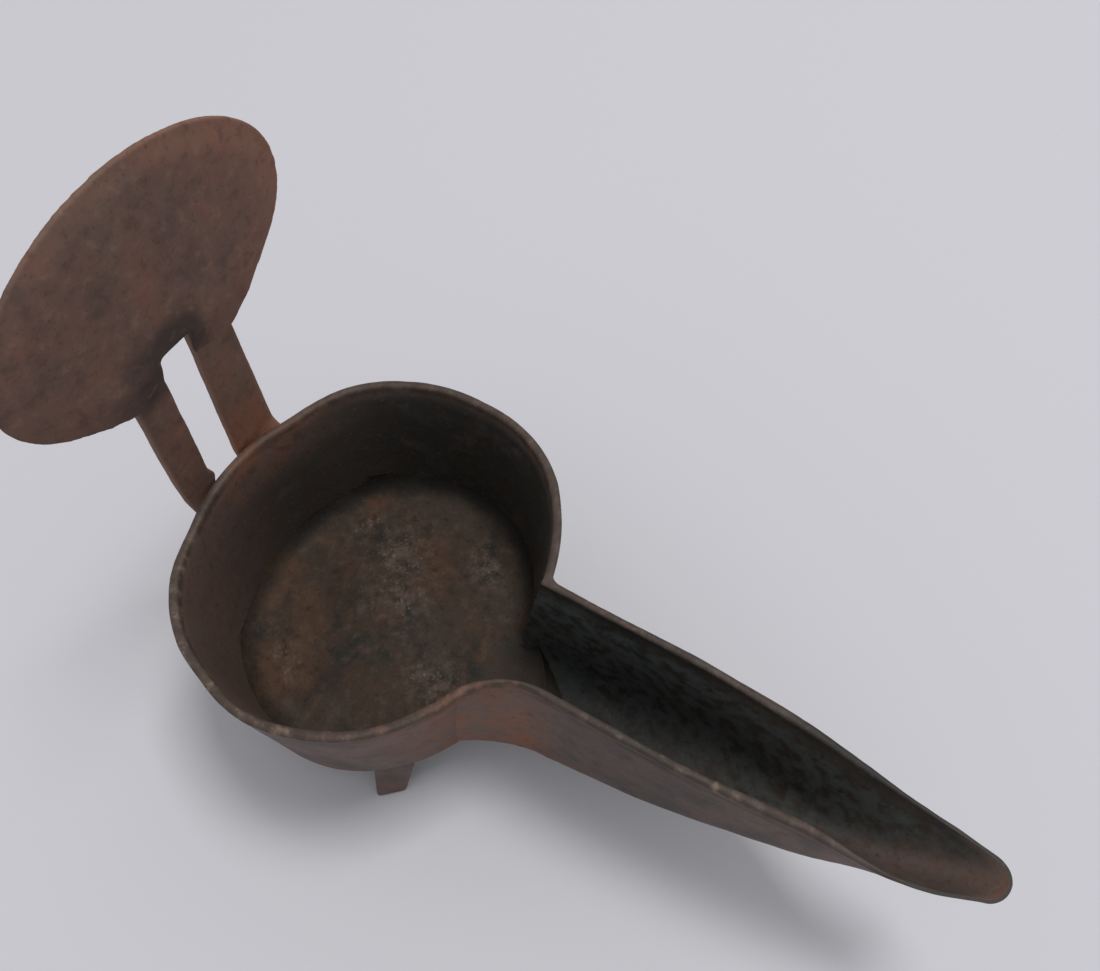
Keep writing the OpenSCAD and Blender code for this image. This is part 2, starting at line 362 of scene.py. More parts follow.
def grooveMark(place, depth):  # painted shade in the groove under the bead, clear in some places and faded in others
    clear = smooth(*rim["stainSpan"], lump(place, rim["stainSize"], 4.4))
    return bell(depth, rim["grooveAt"], rim["stainWide"]) * clear


# pan wall: a leaning band, spun round the pan and open at the mouth

panWall = {
    "rimX": 31.8, "rimY": 36.0, "lean": 4.3, "sheet": 2.0,
    "rows": 46, "steps": 320, "mouthY": 9.05, "endSquared": 0.4, "bendAngle": 28, "seamAngle": 0.4,
    "square": 0.011, "squareFrom": (30, 60),  # the oval is a little square, but not at the mouth
    "pulls": (  # angle in degrees, share pulled inwards, spread in degrees
        (157, 0.028, 9), (-157, 0.018, 9), (90, 0.01, 18),
        (134, -0.008, 9), (-108, 0.008, 10), (-88, -0.014, 12),
    ),
    "sunny": (-4, -30), "sunnyTurn": 0.4, "brightY": (-6, -28), "brightX": (12, 22),
    "stainX": (-18, -27), "stainAt": (6, 12), "stainDeep": (3, 13),
    "seatX": (-18, -26), "seats": ((8, 6), (-7, 4)), "seatDeep": (1.0, 3.0),
    "sootDeep": (0.4, 4.0), "backX": (-12, -26), "bendX": (14, 27), "bendY": (6, 14),
}
panWall["height"] = rimZ - baseZ


def panShape(angle, depth):  # how far the pan departs from a true oval, less and less towards its base
    around = math.degrees(angle)
    pull = sum(deep * bell(around, at, wide) for at, deep, wide in panWall["pulls"])
    square = panWall["square"] * math.cos(4 * angle) * smooth(*panWall["squareFrom"], abs(around))
    return 1 - (square + pull) * (1 - depth / panWall["height"])


def wallRadius(depth):
    return panWall["rimY"] - panWall["lean"] * depth / panWall["height"]


def ovalRatio(inward):  # length to width of the oval, from the outer face (0) to the inner face (1)
    sheet = panWall["sheet"] * inward
    return (panWall["rimX"] - sheet) / (panWall["rimY"] - sheet)


def wallSection():  # how far inward and how deep: up the outer face, over the rim, down the inner face
    depths = sheetDepths(rim["drop"], panWall["height"], panWall["rows"])
    outer = [(-beadOut(d), d) for d in reversed(depths)]
    inner = [(panWall["sheet"] - thinned(d), d) for d in depths]
    return outer + overRim(-rim["bead"], panWall["sheet"] - thinned(rim["drop"]), rim["drop"]) + inner


def stainPanWall(bm, section, place):
    innerFrom = len(section) - panWall["rows"] - 1

    def depthOf(v):
        return section[v[place]][1]

    def inside(v):
        return v[place] >= innerFrom

    def sunny(v):  # the inner face turned to the light: there painted light thins the soot and adds a warm rust tone
        return smooth(*panWall["sunny"], v.co.y + panWall["sunnyTurn"] * v.co.x)

    def nearSide(v):  # the rim is rubbed, with a painted highlight, on its right side only
        return smooth(*panWall["brightY"], v.co.y) * (1 - smooth(*panWall["brightX"], v.co.x))

    def strapStain(v):  # rust runs down from the straps
        high = 1 - smooth(*panWall["stainDeep"], depthOf(v))
        return smooth(*panWall["stainX"], v.co.x) * bell(v.co.y, *panWall["stainAt"]) * high

    def strapSeat(v):  # the rim is burnt dark where the straps are welded on
        along = max(bell(v.co.y, *seat) for seat in panWall["seats"])
        high = 1 - smooth(*panWall["seatDeep"], depthOf(v))
        return smooth(*panWall["seatX"], v.co.x) * along * high

    def onRim(v):
        return (1 - smooth(*rim["wornDeep"], depthOf(v))) * (1 - 0.85 * strapStain(v))

    def insideSoot(v):  # soot, thinner under the straps and at the back; painted shade keeps it heavier on the face turned from the light
        kept = (1 - 0.55 * sunny(v)) * (1 - 0.6 * strapStain(v))
        back = 0.92 - 0.14 * smooth(*panWall["backX"], v.co.x)
        return smooth(*panWall["sootDeep"], depthOf(v)) * kept * back

    def bendRust(v):  # outside, where the wall bends into the spout
        return smooth(*panWall["bendX"], v.co.x) * smooth(*panWall["bendY"], -v.co.y)

    mark(
        bm,
        # soot, with painted shade on the inner face turned from the light
        soot=lambda v: max(insideSoot(v) if inside(v) else 0, 0.4 * strapSeat(v)),
        worn=onRim,
        # rubbed rim with a painted highlight
        shine=lambda v: nearSide(v) * onRim(v),
        # painted shade in the groove under the bead
        groove=lambda v: 0 if inside(v) else grooveMark(v.co, depthOf(v)),
        # rust, and inside a warm tone painted on the face turned to the light
        rust=lambda v: 0.9 * strapStain(v) + (0.25 * sunny(v) if inside(v) else 0.8 * bendRust(v)),
    )


def makePanWall():
    bm = bmesh.new()
    section = wallSection()
    place = bm.verts.layers.int.new("place")
    line = []
    for k, (inward, depth) in enumerate(section):
        v = bm.verts.new((wallRadius(depth) - inward, 0, rimZ - depth))
        v[place] = k
        line.append(v)
    edges = [bm.edges.new((line[k - 1], line[k])) for k in range(len(line))]
    start = math.asin(panWall["mouthY"] / panWall["rimY"])
    sweep = 2 * math.pi - math.radians(panWall["bendAngle"] - panWall["seamAngle"]) - start
    bmesh.ops.rotate(bm, verts=line, cent=(0, 0, 0), matrix=Matrix.Rotation(start, 3, "Z"))
    bmesh.ops.spin(
        bm, geom=line + edges, cent=(0, 0, 0), axis=(0, 0, 1), dvec=(0, 0, 0),
        angle=sweep, steps=panWall["steps"],
    )
    for v in bm.verts:  # squeeze the round into the oval, and cut the left end level with the spout's side
        inward, depth = section[v[place]]
        radius = math.hypot(v.co.x, v.co.y)
        if v.co.x > 0 and 0 < v.co.y < panWall["mouthY"] + panWall["endSquared"]:
            v.co.y = panWall["mouthY"]
            v.co.x = math.sqrt(radius ** 2 - v.co.y ** 2)
        shape = panShape(math.atan2(v.co.y, v.co.x), depth)
        v.co.x *= shape * ovalRatio(inward / panWall["sheet"])
        v.co.y *= shape
        v.co.z += rimWave(v.co, depth)
    weather(bm)
    closeEnds(bm)
    stainPanWall(bm, section, place)
    makePiece("panWall", bm, sootyIron, "pan_wall")


makePanWall()


# pan floor: a dished plate with its edge turned up all round

panFloor = {
    "plate": 1.8, "turnR": 5.5, "edge": 0.1, "gap": -0.3, "steps": 260, "rings": 44, "turnSteps": 12,
    "footRound": 0.4, "lipAcross": 0.15, "lipDown": 0.2,
    "hammer": 0.25, "dent": 0.12, "pit": 0.06,
    "sillDrop": 0.8, "sillX": (18, 22), "sillY": (9, 6),
    "sillReach": 7.0, "reachX": (14, 25), "reachAt": (-1, 9),
    "reachRight": (-12, -7), "reachLeft": (9.5, 6.5),
    "scarf": 5.0, "scarfUp": (1.0, 0.5),
    "crust": ((-17, 14, 4), (-7, 12, 6), (-1, 3, 5), (11, 18, 4), (-15, -20, 5), (14, -8, 4)),  # x, y, size
    "blots": ((-12, 10, 3), (-11, -2, 5), (-2, -16, 4)),
    "ragged": 3, "raggedSize": 4, "edgeRagged": 0.03, "edgeRaggedSize": 5,
    "mouthX": (8, 20), "mouthY": (20, 10), "slopeOut": (1.1, 1.25), "slopeUp": (2.5, 0.5),
    "shadeFrom": (4, -24), "shadeTurn": 0.3,
    "sootOut": (1.05, 1.16), "wornOut": (0.9, 1.04), "gritOut": (0.9, 1.05),
}
floorTop = panFloor["plate"] + panFloor["turnR"]
floorOuter = panWall["rimY"] - panWall["sheet"] - panWall["lean"] - panFloor["gap"]
lipOuter = floorOuter + panWall["lean"] * floorTop / panWall["height"]
turnY = lipOuter - panFloor["edge"] - panFloor["turnR"]  # half the width of the flat, and half its length
turnX = turnY * ovalRatio(1)


def floorLine():  # how far out and how high: under the plate, up its edge and back down to the middle
    points = [(0.0, 0.0), (floorOuter - panFloor["footRound"], 0.0), (floorOuter, panFloor["footRound"])]
    points += [(lipOuter, floorTop - panFloor["lipDown"]), (lipOuter - panFloor["lipAcross"], floorTop)]
    for k in range(panFloor["turnSteps"] + 1):
        a = math.pi / 2 * k / panFloor["turnSteps"]
        points.append((turnY + panFloor["turnR"] * math.cos(a), floorTop - panFloor["turnR"] * math.sin(a)))
    shares = [1 - k / panFloor["rings"] for k in range(1, panFloor["rings"] + 1)]
    return points + [(turnY * share, panFloor["plate"]) for share in shares]


def slopeSill(bm):  # across the spout's mouth the edge is hammered low and slopes out onto the trough
    for v in bm.verts:
        x, y, z = v.co.x, v.co.y, v.co.z - baseZ
        outer = math.hypot(x / ovalRatio(1), y) > floorOuter - panFloor["footRound"] - 0.1
        slope = panFloor["scarf"] * smooth(*panFloor["scarfUp"], z) if outer else 0
        sill = smooth(*panFloor["sillX"], x) * smooth(*panFloor["sillY"], abs(y))
        reach = bell(y, *panFloor["reachAt"]) * smooth(*panFloor["reachX"], x)
        reach *= smooth(*panFloor["reachRight"], y) * smooth(*panFloor["reachLeft"], y)
        v.co.z -= panFloor["sillDrop"] * sill * max(0.0, z - panFloor["plate"])
        v.co.x += (panFloor["sillReach"] + slope) * reach


def stainPanFloor(bm):
    def outward(v):  # 1 at the foot of the turned-up edge
        ragged = panFloor["edgeRagged"] * lump(v.co, panFloor["edgeRaggedSize"], 9.1)
        return math.hypot(v.co.x / turnX, v.co.y / turnY) + ragged

    def near(v, spots):  # 1 in the middle of the nearest spot, with a ragged edge
        x = v.co.x + panFloor["ragged"] * lump(v.co, panFloor["raggedSize"], 6.6)
        y = v.co.y + panFloor["ragged"] * lump(v.co, panFloor["raggedSize"], 8.8)
        return max(bell(math.hypot(x - atX, y - atY), 0, wide) for atX, atY, wide in spots)

    def mouth(v):
        return smooth(*panFloor["mouthX"], v.co.x) * smooth(*panFloor["mouthY"], abs(v.co.y))

    def scarfed(v):  # the slope onto the trough is as sooty as the trough
        low = smooth(*panFloor["slopeUp"], v.co.z - baseZ)
        return mouth(v) * smooth(*panFloor["slopeOut"], outward(v)) * low

    def edgeSoot(v):  # soot at the turned-up edge, with painted shade: heavier away from the light, thinner in the light, and nearly gone at the mouth
        lit = smooth(*panFloor["shadeFrom"], v.co.y + panFloor["shadeTurn"] * v.co.x)
        return smooth(*panFloor["sootOut"], outward(v)) * (1 - 0.65 * lit) * (1 - 0.85 * mouth(v))

    mark(
        bm,
        # soot, with painted shade at the edge turned from the light
        soot=lambda v: max(edgeSoot(v), 0.5 * near(v, panFloor["blots"]), 0.4 * scarfed(v)),
        worn=lambda v: smooth(*panFloor["wornOut"], outward(v)) * mouth(v),
        grit=lambda v: near(v, panFloor["crust"]) * (1 - smooth(*panFloor["gritOut"], outward(v))),
    )


def makePanFloor():
    bm = bmesh.new()
    line = [bm.verts.new((out, 0, baseZ + up)) for out, up in floorLine()]
    edges = [bm.edges.new((line[k], line[k + 1])) for k in range(len(line) - 1)]
    bmesh.ops.spin(
        bm, geom=line + edges, cent=(0, 0, 0), axis=(0, 0, 1), dvec=(0, 0, 0),
        angle=2 * math.pi, steps=panFloor["steps"], use_merge=True,
    )
    bmesh.ops.remove_doubles(bm, verts=bm.verts, dist=0.001)
    bmesh.ops.scale(bm, vec=(ovalRatio(1), 1, 1), verts=bm.verts)
    slopeSill(bm)
    weather(bm, hammer=panFloor["hammer"], dent=panFloor["dent"], pit=panFloor["pit"], seed=7.7)
    stainPanFloor(bm)
    makePiece("panFloor", bm, grittyRust, "pan_floor")


makePanFloor()


# spout: a trough lofted from the bent root to the round tip, with its tongue under the floor

spout = {
    "halfWidth": 9.15, "reach": 111.7, "straight": 52.0, "sheet": 1.8, "tipSheet": 0.5, "thinX": (70, 104),
    "tipR": 3.5, "tipTurn": 11.2, "tipEnd": 89.7, "tipDepth": 2.3, "tipFlush": 2.6,
    "keelRise": 0.166, "belly": 0.9, "bellyAt": (72, 16), "hollowSide": 0.8, "hollowAt": (93, 10),
    "flare": 1.1, "flareIn": (80, 98), "flareOut": (102, 112),
    "dip": 2.0, "dipIn": (82, 98), "dipOut": (98, 110),
    "rootCorner": 2.2, "innerCorner": 4.5, "seamCorner": 0.5, "cornerGrowth": 0.17,
    "widestCorner": 0.96, "deepestCorner": 0.9, "leastWall": 0.02,
    "rootDrift": 4.1, "rootOverlap": 0.7, "rootGap": 0.1, "fillet": 2.2,
    "shoulder": 1.2, "shoulderDeep": 5.0,
    "spoonIn": (64, 90), "spoonOut": (82, 96),
    "beadDeep": (3, 9), "crestEnd": (92, 102), "waveEnd": (96, 106),
    "bendRows": 44, "sideRows": 100, "tipRows": 16, "wallPoints": 34, "cornerPoints": 9, "flatPoints": 9,
    "tongueLength": 9.0, "tongueWidth": 14.0, "tongueRound": 0.4, "tongueThinner": 0.2,
}
spout["rootDepth"] = panWall["height"] + spout["rootGap"] + spout["sheet"]

bendTurn = math.radians(panWall["bendAngle"])  # where the right wall leaves the pan's oval
bendAt = Vector((panWall["rimX"] * math.cos(bendTurn), -panWall["rimY"] * math.sin(bendTurn)))
bendOut = Vector((math.cos(bendTurn) / panWall["rimX"], -math.sin(bendTurn) / panWall["rimY"])).normalized()
bendR = -(bendAt.y + spout["halfWidth"]) / (1 + bendOut.y)
bendC = bendAt + bendOut * bendR
keelX = bendC.x
rootShare = (spout["halfWidth"] - spout["sheet"]) / (panWall["rimY"] - panWall["sheet"])
rootX = panWall["rimX"] - panWall["sheet"] + rim["thin"] - spout["rootGap"]
rootX *= math.sqrt(1 - rootShare ** 2)
tipTurn = math.radians(spout["tipTurn"])  # the sides run into the tip's round without a corner
tipR = spout["tipR"] / math.cos(tipTurn)
tipX = spout["reach"] - tipR * (1 - math.sin(tipTurn))
drawIn = (spout["halfWidth"] - spout["tipR"]) / (tipX - spout["straight"]) ** 2


def spoutSheet(x):  # the sheet is drawn thinner towards the tip
    return spout["sheet"] + (spout["tipSheet"] - spout["sheet"]) * smooth(*spout["thinX"], x)


def handWork(edge, x, fade=1):  # left edge a little hollow, right edge a little splayed towards the tip
    hollow = spout["hollowSide"] * bell(x, *spout["hollowAt"]) * fade
    flare = spout["flare"] * smooth(*spout["flareIn"], x) * (1 - smooth(*spout["flareOut"], x)) * fade
    return edge - Vector((0, hollow)), Vector((edge.x, -edge.y - flare)), 0


def bendStation(share, inner):
    inset = spout["sheet"] if inner else 0
    start = math.atan2(-bendOut.y, -bendOut.x)
    turn = start + (math.pi / 2 - start) * share
    right = bendC + (bendR + inset) * Vector((math.cos(turn), math.sin(turn)))
    x = rootX + (keelX - rootX) * share
    filletR = spout["fillet"]  # the outer corner on the left is rounded into the pan
    filletX = panWall["rimX"] * math.sqrt(1 - ((spout["halfWidth"] + filletR) / panWall["rimY"]) ** 2)
    near = min(max(filletR - (x - filletX), 0.0), filletR)
    fillet = 0 if inner else filletR - math.sqrt(filletR ** 2 - near ** 2)
    return Vector((x, spout["halfWidth"] - inset + fillet)), right, 1 - share


def sideStation(share, inner):
    x = keelX + (tipX - keelX) * share
    past = max(0.0, x - spout["straight"])
    slope = -2 * drawIn * past
    inward = (spoutSheet(x) if inner else 0) / math.sqrt(1 + slope * slope)
    edge = Vector((x + slope * inward, spout["halfWidth"] - drawIn * past ** 2 - inward))
    return handWork(edge, x)


def tipStation(share, inner):
    turn = tipTurn + (math.radians(spout["tipEnd"]) - tipTurn) * share
    inset = spoutSheet(spout["reach"]) if inner else 0
    edge = Vector((spout["reach"] - tipR, 0)) + (tipR - inset) * Vector((math.sin(turn), math.cos(turn)))
    return handWork(edge, tipX, math.cos(turn) / math.cos(tipTurn))


def spoutStations(inner):  # left edge, right edge and share of the root's lean, along the spout
    stations = [bendStation(k / spout["bendRows"], inner) for k in range(spout["bendRows"] + 1)]
    stations += [sideStation(k / spout["sideRows"], inner) for k in range(1, spout["sideRows"])]
    return stations + [tipStation(k / spout["tipRows"], inner) for k in range(spout["tipRows"] + 1)]


def spoutDepth(x):
    run = max(0.0, x - keelX)
    whole = spout["reach"] - keelX
    curve = (spout["rootDepth"] - spout["tipDepth"] - spout["keelRise"] * whole) / whole ** 2
    keel = spout["rootDepth"] - spout["keelRise"] * run - curve * run ** 2
    return keel + spout["belly"] * bell(x, *spout["bellyAt"])


def halfTrough(middle, edge, depth, corner, drift, proud, drop, spoon, dip):  # down one wall to the middle
    half = (edge - middle).length
    out = (edge - middle) / half
    wide = min(corner, spout["widestCorner"] * half)
    fall = max(depth - min(wide, spout["deepestCorner"] * depth), drop + spout["leastWall"])
    line = [(half + proud(d), d) for d in sheetDepths(drop, fall, spout["wallPoints"])]
    for k in range(1, spout["cornerPoints"] + 1):
        a = math.pi / 2 * k / spout["cornerPoints"]
        line.append((half - wide + wide * math.cos(a), fall + (depth - fall) * math.sin(a)))
    for k in range(1, spout["flatPoints"] + 1):
        line.append(((half - wide) * (1 - k / spout["flatPoints"]), depth))
    points = []
    for k, (across, down) in enumerate(line):
        left = 1 - k / (len(line) - 1)  # towards the tip the hollow flattens into a shallow spoon
        across += (half * left - across) * spoon
        down += (drop + (depth - drop) * (1 - left ** 2) - down) * spoon
        down += dip * (1 - down / depth)
        at = middle + out * across + drift * (down / panWall["height"])
        points.append((Vector((at.x, at.y, rimZ - down)), down))
    return points


def troughSide(station, inset, drop):  # one face of the sheet, from the left rim to the right rim
    left, right, lean = station
    middle = (left + right) / 2
    depth = spoutDepth(middle.x) - inset
    corner = spout["innerCorner"] if inset else spout["rootCorner"]
    corner += spout["cornerGrowth"] * max(0.0, middle.x - keelX)
    spoon = smooth(*spout["spoonIn"], middle.x) if inset else 0.5 * smooth(*spout["spoonOut"], middle.x)
    if inset:  # the hollow runs out flush at the very tip
        depth = drop + (depth - drop) * smooth(0, spout["tipFlush"], (left - right).length / 2)
    else:
        corner += (spout["seamCorner"] - corner) * smooth(0.6, 1, lean)
    dip = spout["dip"] * smooth(*spout["dipIn"], middle.x) * (1 - smooth(*spout["dipOut"], middle.x))
    overlap = Vector((spout["rootOverlap"], 0)) * smooth(0.9, 1, lean)
    leftDrift = Vector((-spout["rootDrift"], 0)) * lean - overlap
    rightDrift = -bendAt * (panWall["lean"] / panWall["rimY"]) * lean ** 2
    full = smooth(*spout["beadDeep"], depth)
    drawn = spoutSheet(middle.x) / spout["sheet"]
    atPan = (spout["rootDepth"] - panWall["height"]) * smooth(0.55, 1, lean)
    rounded = spout["shoulder"] * math.sin(math.pi * lean)

    def proudInner(d):
        return thinned(d) * drawn

    def proudLeft(d):
        return beadOut(d) * full

    def proudRight(d):  # the rim is rolled over broadly where the wall bends into the spout
        return beadOut(d) * full - rounded * max(0.0, 1 - d / spout["shoulderDeep"]) ** 2

    onLeft = proudInner if inset else proudLeft
    onRight = proudInner if inset else proudRight
    leftLine = halfTrough(middle, left, depth, corner, leftDrift, onLeft, drop, spoon, 0)
    rightLine = halfTrough(middle, right, depth - atPan, corner, rightDrift, onRight, drop, spoon, dip)
    return leftLine + rightLine[-2::-1]


def spoutRings():  # each ring runs over the outer face, the right rim, the inner face and the left rim
    rings = []
    for outerAt, innerAt in zip(spoutStations(False), spoutStations(True)):
        hollow = spoutDepth((innerAt[0].x + innerAt[1].x) / 2) - spout["sheet"]
        drop = min(rim["drop"], 0.4 * hollow)
        outer = troughSide(outerAt, 0, drop)
        inner = troughSide(innerAt, spout["sheet"], drop)
        ring = list(outer)
        for start, end, follow in ((outer[-1], inner[-1], inner[::-1]), (inner[0], outer[0], [])):
            for share, down in overRim(0, 1, drop):
                at = start[0].lerp(end[0], share)
                crest = (drop - down) * (1 - smooth(*spout["crestEnd"], at.x))  # the tip has no rim
                ring.append((Vector((at.x, at.y, at.z + crest)), down))
            ring += follow
        for at, down in ring:
            at.z += rimWave(at, down) * (1 - smooth(*spout["waveEnd"], at.x))
        rings.append([at for at, down in ring])
    return rings, len(outer)


spoutStains = {
    "burntX": (80, 107), "burntTurn": 4.8, "burntRagged": 5, "burntSize": 7,
    "farY": (0, 3), "farEnd": (100, 108),
    "sootDeep": (0.2, 2.0), "sootTip": (95, 104), "sootRoot": (72, 46),
    "ashX": (60, 80), "ashY": (-3, 4), "ashDeep": (1, 5), "wornEnd": (84, 96),
    "emberX": (96, 103), "emberAt": (-0.6, 2.4), "emberRagged": 2, "emberSize": 3,
    "tipX": (88, 98), "tipDeep": (2.0, 4.5), "farRimX": (64, 84), "farRimDeep": (0.6, 1.5),
    "bendX": (46, 33), "bendY": (2, 10), "bendDeep": (6, 18), "rootX": (40, 30), "rootDeep": (12, 4),
    "smokeAt": (60, 16), "shineIn": (34, 50), "shineOut": (66, 82), "grooveEnd": (76, 84),
}


def stainSpout(bm, place, count):
    innerFrom = count + rim["steps"] - 1
    stains = spoutStains

    def inside(v):
        return innerFrom <= v[place] < innerFrom + count

    def below(v):
        return rimZ - v.co.z

    def burnt(v):  # soot fills the trough and thins out at the tip; along the near side, which faces the light, it is thinned as painted light
        ragged = stains["burntRagged"] * lump(v.co, stains["burntSize"], 8.3)
        return 1 - smooth(*stains["burntX"], v.co.x - stains["burntTurn"] * v.co.y + ragged)

    def farSide(v):
        return smooth(*stains["farY"], v.co.y) * (1 - smooth(*stains["farEnd"], v.co.x))

    # soot; the far inner wall, turned from the light, is painted dark up to its rim as painted shade
    def insideSoot(v):
        rimShare = max(smooth(*stains["sootDeep"], below(v)), farSide(v))
        ends = max(smooth(*stains["sootTip"], v.co.x), smooth(*stains["sootRoot"], v.co.x))
        return (0.24 + 0.26 * ends + 0.5 * burnt(v)) * rimShare

    def ash(v):  # painted sheen: a grey reflection on the steep faces, and on the flat ones only towards the tip and on the far half, where it is painted light in the shade
        flat = 0.95 - 0.35 * smooth(*stains["ashX"], v.co.x) - 0.3 * smooth(*stains["ashY"], v.co.y)
        face = 1 - flat * abs(v.normal.z)
        return max(burnt(v), 0.4) * face * smooth(*stains["ashDeep"], below(v))

    def onRim(v):
        return (1 - smooth(*rim["wornDeep"], below(v))) * (1 - smooth(*stains["wornEnd"], v.co.x))

    def ember(v):  # a red-brown spot where the flame stood
        ragged = stains["emberRagged"] * lump(v.co, stains["emberSize"], 1.9)
        return smooth(*stains["emberX"], v.co.x + ragged) * bell(v.co.y, *stains["emberAt"])

    def outerSoot(v):  # soot on the far rim and on the tip's edge, and a darker band half way along
        farRim = smooth(*stains["farRimX"], v.co.x) * (1 - smooth(*stains["farRimDeep"], below(v)))
        tipEdge = smooth(*stains["tipX"], v.co.x) * (1 - smooth(*stains["tipDeep"], below(v)))
        return max(0.9 * farSide(v) * farRim, 0.8 * tipEdge, 0.4 * bell(v.co.x, *stains["smokeAt"]))

    # rubbed rim with a painted highlight, on the near side only
    def shine(v):
        along = smooth(*stains["shineIn"], v.co.x) * (1 - 0.7 * smooth(*stains["shineOut"], v.co.x))
        return onRim(v) * (1 - farSide(v)) * along

    def innerRust(v):
        root = smooth(*stains["rootX"], v.co.x) * smooth(*stains["rootDeep"], below(v))
        return 0.6 * ember(v) + 0.3 * root

    def bendRust(v):  # the bend in the near wall is rusted, most of all at its lower edge
        near = smooth(*stains["bendX"], v.co.x) * smooth(*stains["bendY"], -v.co.y)
        return near * (0.65 + 0.6 * smooth(*stains["bendDeep"], below(v)))

    # painted shade in the groove under the bead, fading out towards the tip
    def groove(v):
        return grooveMark(v.co, below(v)) * (1 - smooth(*stains["grooveEnd"], v.co.x))

    mark(
        bm,
        # soot inside, deepened with painted shade on the far wall and thinned with painted light on the
        # near side
        soot=lambda v: insideSoot(v) if inside(v) else outerSoot(v),
        # painted sheen on the inner faces
        ash=lambda v: ash(v) if inside(v) else 0,
        worn=onRim,
        shine=shine,
        groove=lambda v: 0 if inside(v) else groove(v),
        rust=lambda v: innerRust(v) if inside(v) else bendRust(v),
    )


def addTongue(bm):
    length = spout["tongueLength"]
    middleX = rootX - panWall["lean"] + spout["sheet"] - length / 2
    middleZ = rimZ - spout["rootDepth"] + spout["sheet"] / 2
    plate = bmesh.ops.create_cube(bm, size=1)["verts"]
    size = (length, spout["tongueWidth"], spout["sheet"] - spout["tongueThinner"])
    bmesh.ops.scale(bm, vec=size, verts=plate)
    bmesh.ops.translate(bm, vec=(middleX, 0, middleZ), verts=plate)
    roundEdges(bm, list({e for v in plate for e in v.link_edges}), spout["tongueRound"])


def makeSpout():
    bm = bmesh.new()
    rings, count = spoutRings()
    place, last = loft(bm, rings)
    bmesh.ops.remove_doubles(bm, verts=last, dist=0.05)
    weather(bm)
    closeEnds(bm)
    stainSpout(bm, place, count)
    addTongue(bm)
    makePiece("spoutTrough", bm, sootyIron, "spout")


makeSpout()


# handle: two straps up the back of the pan and the oval disc in front of their upper ends

handle = {"lean": 2.5, "frontX": -31.9, "gap": 0.1}

strap = {
    "sheet": 2.0, "top": 40.7, "lap": 9.0, "round": 0.35, "voxel": 0.3, "bend": (-0.3, -5.5), "middle": 20,
    "ragged": 0.12, "raggedSize": 6, "hammer": 0.08, "dent": 0.04,
    "sootUp": (24, 29), "footAt": (0, 4), "footY": (-11, -5), "edgeWorn": (0.42, 0.5), "rustUp": (14, 3),
}
leftStrap = {"inner": 3.2, "outer": 13.0, "taper": 0.055, "soot": 0, "worn": 0.25, "rust": 1, "seed": 12.0}
rightStrap = {
    "outer": -10.3, "waist": 0.6, "waistAt": (-3, 6), "inner": -3.65, "burr": 0.8, "burrAt": (0.3, 1.6),
    "soot": 1, "worn": 0, "rust": 0.2, "seed": 14.0,
}


def leftEdges(up):  # the strap's two edges, from right to left, at a height above the rim
    return leftStrap["inner"], leftStrap["outer"] - leftStrap["taper"] * up


def rightEdges(up):
    outer = rightStrap["outer"] + rightStrap["waist"] * bell(up, *rightStrap["waistAt"])
    inner = rightStrap["inner"] + rightStrap["burr"] * bell(up, *rightStrap["burrAt"])
    return outer, inner


def strapFront(y, up):  # on the wall below the rim, then straight up the leaning handle
    depth = max(0.0, -up)
    halfY = wallRadius(depth) + handle["gap"]
    angle = math.pi - math.asin(y / halfY)
    shape = panShape(math.remainder(angle, 2 * math.pi), depth)
    onWall = halfY * ovalRatio(0) * math.cos(angle) * shape
    upright = handle["frontX"] + up * math.tan(math.radians(handle["lean"]))
    return upright + (onWall - upright) * smooth(*strap["bend"], up)


def makeStrap(name, node, sizes, edgesAt):
    bm = bmesh.new()
    bmesh.ops.create_cube(bm, size=1)
    length = strap["top"] + strap["lap"]
    low, high = edgesAt(strap["middle"])
    width = high - low
    bmesh.ops.scale(bm, vec=(strap["sheet"], width, length), verts=bm.verts)
    roundEdges(bm, bm.edges, strap["round"])
    bm = remeshed(bm, strap["voxel"])
    for v in bm.verts:
        up = v.co.z + length / 2 - strap["lap"]
        across = v.co.y / width
        right, left = edgesAt(up)
        side = Vector((sizes["seed"], math.copysign(4, across), up / strap["raggedSize"]))
        ragged = strap["ragged"] * noise.noise(side)
        y = (right + left) / 2 + across * (left - right) + 2 * abs(across) * ragged
        v.co = (strapFront(y, up) + v.co.x - strap["sheet"] / 2, y, rimZ + up)
    weather(bm, hammer=strap["hammer"], dent=strap["dent"], seed=sizes["seed"])

    def soot(v):  # painted shade just under and behind the disc's lower edge, and soot at the foot by the slot
        up = v.co.z - rimZ
        atFoot = bell(up, *strap["footAt"]) * smooth(*strap["footY"], v.co.y)
        return sizes["soot"] * (0.8 * smooth(*strap["sootUp"], up) + 0.6 * atFoot)

    def worn(v):
        across = abs(v.co.y - (low + high) / 2) / width
        return sizes["worn"] + 0.5 * smooth(*strap["edgeWorn"], across)

    mark(bm, soot=soot, worn=worn, rust=lambda v: sizes["rust"] * smooth(*strap["rustUp"], v.co.z - rimZ))
    makePiece(name, bm, brownRust, node)


makeStrap("leftStrap", "left_strap", leftStrap, leftEdges)
makeStrap("rightStrap", "right_strap", rightStrap, rightEdges)

